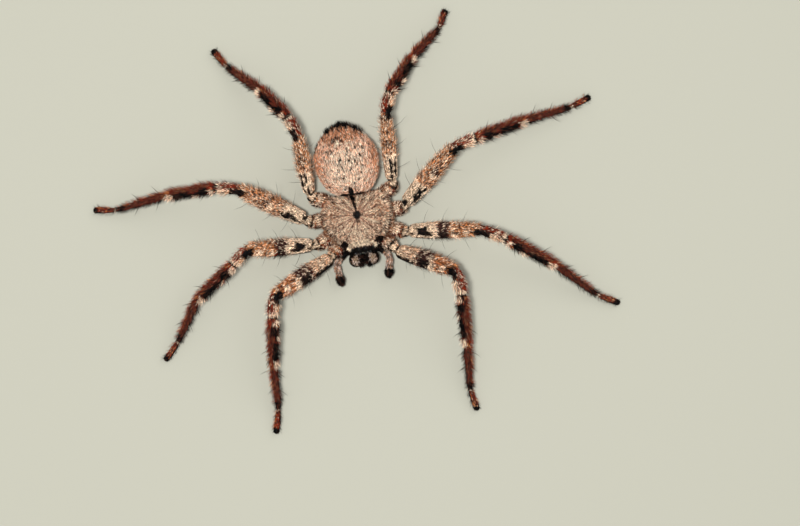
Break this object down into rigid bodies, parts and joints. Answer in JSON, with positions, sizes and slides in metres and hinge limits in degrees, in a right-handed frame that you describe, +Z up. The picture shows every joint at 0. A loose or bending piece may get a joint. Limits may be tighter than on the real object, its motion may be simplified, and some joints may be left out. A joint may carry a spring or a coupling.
{
  "type": "huntsman spider",
  "caption": "Still life-size huntsman spider standing flat with its hairy banded legs spread to the sides.",
  "frame": {"origin": "on the ground, under the middle of the animal's bounding box", "axes": "+Z up, -Y toward the head, -X toward the spider's own right side"},
  "size_m": [0.092, 0.0728, 0.0092],
  "materials": {
    "carapace_plate": "hard cuticle under short pinkish tan hair with paler lines out from the middle",
    "abdomen_coat": "soft skin under short dense beige hair with small dark specks",
    "leg_coat": "cuticle under short hair, pale tan to red-brown with black and cream patches",
    "jaw_coat": "black bristles with a cream tuft on the front",
    "fang": "smooth black-brown horn",
    "eye": "polished black lens"
  },
  "bodies": {
    "root": {"coxa_r1": "leg_coat", "femur_r1": "leg_coat", "patella_tibia_r1": "leg_coat", "metatarsus_r1": "leg_coat", "tarsus_r1": "leg_coat", "coxa_r2": "leg_coat", "femur_r2": "leg_coat", "patella_tibia_r2": "leg_coat", "metatarsus_r2": "leg_coat", "tarsus_r2": "leg_coat", "coxa_r3": "leg_coat", "femur_r3": "leg_coat", "patella_tibia_r3": "leg_coat", "metatarsus_r3": "leg_coat", "tarsus_r3": "leg_coat", "coxa_r4": "leg_coat", "femur_r4": "leg_coat", "patella_tibia_r4": "leg_coat", "metatarsus_r4": "leg_coat", "tarsus_r4": "leg_coat", "coxa_l1": "leg_coat", "femur_l1": "leg_coat", "patella_tibia_l1": "leg_coat", "metatarsus_l1": "leg_coat", "tarsus_l1": "leg_coat", "coxa_l2": "leg_coat", "femur_l2": "leg_coat", "patella_tibia_l2": "leg_coat", "metatarsus_l2": "leg_coat", "tarsus_l2": "leg_coat", "coxa_l3": "leg_coat", "femur_l3": "leg_coat", "patella_tibia_l3": "leg_coat", "metatarsus_l3": "leg_coat", "tarsus_l3": "leg_coat", "coxa_l4": "leg_coat", "femur_l4": "leg_coat", "patella_tibia_l4": "leg_coat", "metatarsus_l4": "leg_coat", "tarsus_l4": "leg_coat", "carapace": "carapace_plate", "eye_front_middle_r": "eye", "eye_front_middle_l": "eye", "eye_front_side_r": "eye", "eye_front_side_l": "eye", "eye_rear_middle_r": "eye", "eye_rear_middle_l": "eye", "eye_rear_side_r": "eye", "eye_rear_side_l": "eye", "sternum": "carapace_plate", "chelicera_r": "jaw_coat", "fang_r": "fang", "palp_r": "leg_coat", "chelicera_l": "jaw_coat", "fang_l": "fang", "palp_l": "leg_coat", "abdomen": "abdomen_coat", "spinnerets": "abdomen_coat", "pedicel": "abdomen_coat"}
  },
  "joints": []
}
